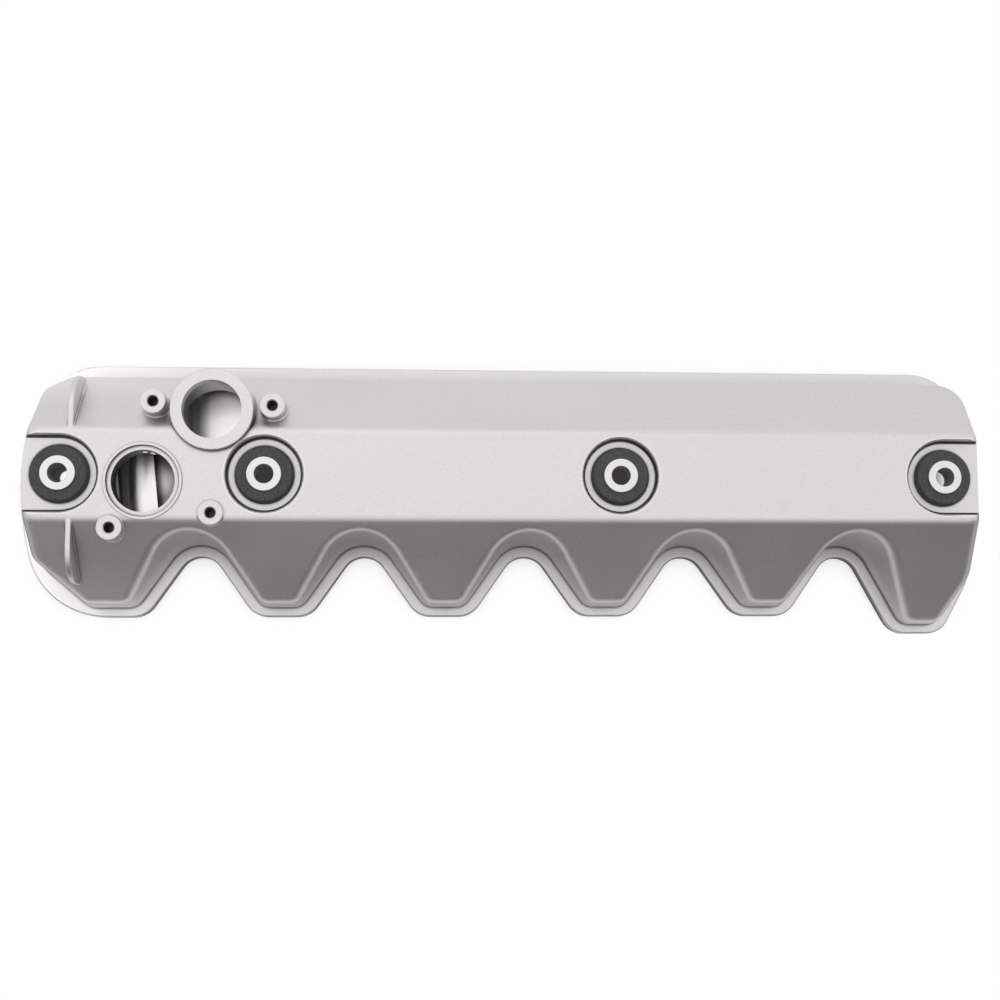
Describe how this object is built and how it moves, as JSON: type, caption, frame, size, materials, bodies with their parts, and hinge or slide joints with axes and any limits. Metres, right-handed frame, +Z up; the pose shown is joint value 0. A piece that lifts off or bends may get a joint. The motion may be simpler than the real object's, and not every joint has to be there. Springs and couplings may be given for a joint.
{
  "type": "engine valve cover",
  "caption": "Long cast aluminium valve cover with a scalloped front, rubber isolators with steel sleeves, a breather port and an oil filler.",
  "frame": {"origin": "middle of the bounding box in plan, on the sealing face", "axes": "+X along the engine towards the longer last lobe, +Y to the straight back, +Z up from the head"},
  "size_m": [0.7149, 0.2018, 0.079],
  "materials": {
    "cast_aluminium": "die-cast, satin",
    "gasket_rubber": "moulded, matt",
    "isolator_rubber": "moulded, matt",
    "sleeve_steel": "plated, bright",
    "sheet_steel": "rolled, satin",
    "screw_steel": "plated"
  },
  "bodies": {
    "root": {"cover_casting": "cast_aluminium", "gasket": "gasket_rubber", "grommet_1": "isolator_rubber", "grommet_2": "isolator_rubber", "grommet_3": "isolator_rubber", "grommet_4": "isolator_rubber", "sleeve_1": "sleeve_steel", "sleeve_2": "sleeve_steel", "sleeve_3": "sleeve_steel", "sleeve_4": "sleeve_steel", "separator_plate": "sheet_steel", "splash_pan": "sheet_steel", "filler_deflector": "sheet_steel", "plate_screw_1": "screw_steel", "plate_screw_2": "screw_steel", "plate_screw_3": "screw_steel", "plate_screw_4": "screw_steel", "pan_screw_1": "screw_steel", "pan_screw_2": "screw_steel", "pan_screw_3": "screw_steel", "pan_screw_4": "screw_steel", "deflector_screw_1": "screw_steel", "deflector_screw_2": "screw_steel"}
  },
  "joints": []
}
